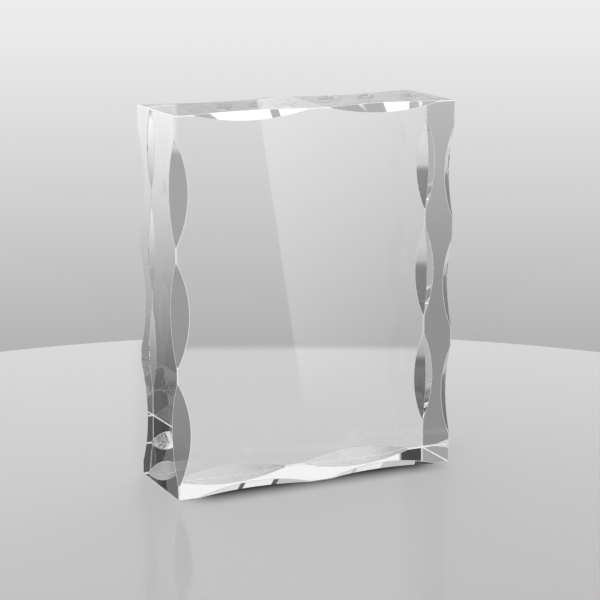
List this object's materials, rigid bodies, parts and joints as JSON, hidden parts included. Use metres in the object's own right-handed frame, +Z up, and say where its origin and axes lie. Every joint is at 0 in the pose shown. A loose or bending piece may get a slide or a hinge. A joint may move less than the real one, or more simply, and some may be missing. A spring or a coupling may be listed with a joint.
{
  "type": "crystal award",
  "caption": "Free-standing upright block of clear polished crystal with flat front and back faces and wheel-cut scalloped edges; no base, plate or engraving.",
  "frame": {"origin": "centre of the footprint, on the surface that the block stands on", "axes": "+X to the viewer's right, +Y away from the viewer through the thickness, +Z up the height"},
  "size_m": [0.1016, 0.033, 0.127],
  "materials": {
    "crystal": "clear optical crystal, mirror-polished flats and scallops, fine semi-polished arrises"
  },
  "bodies": {
    "root": {"crystal_block": "crystal"}
  },
  "joints": []
}
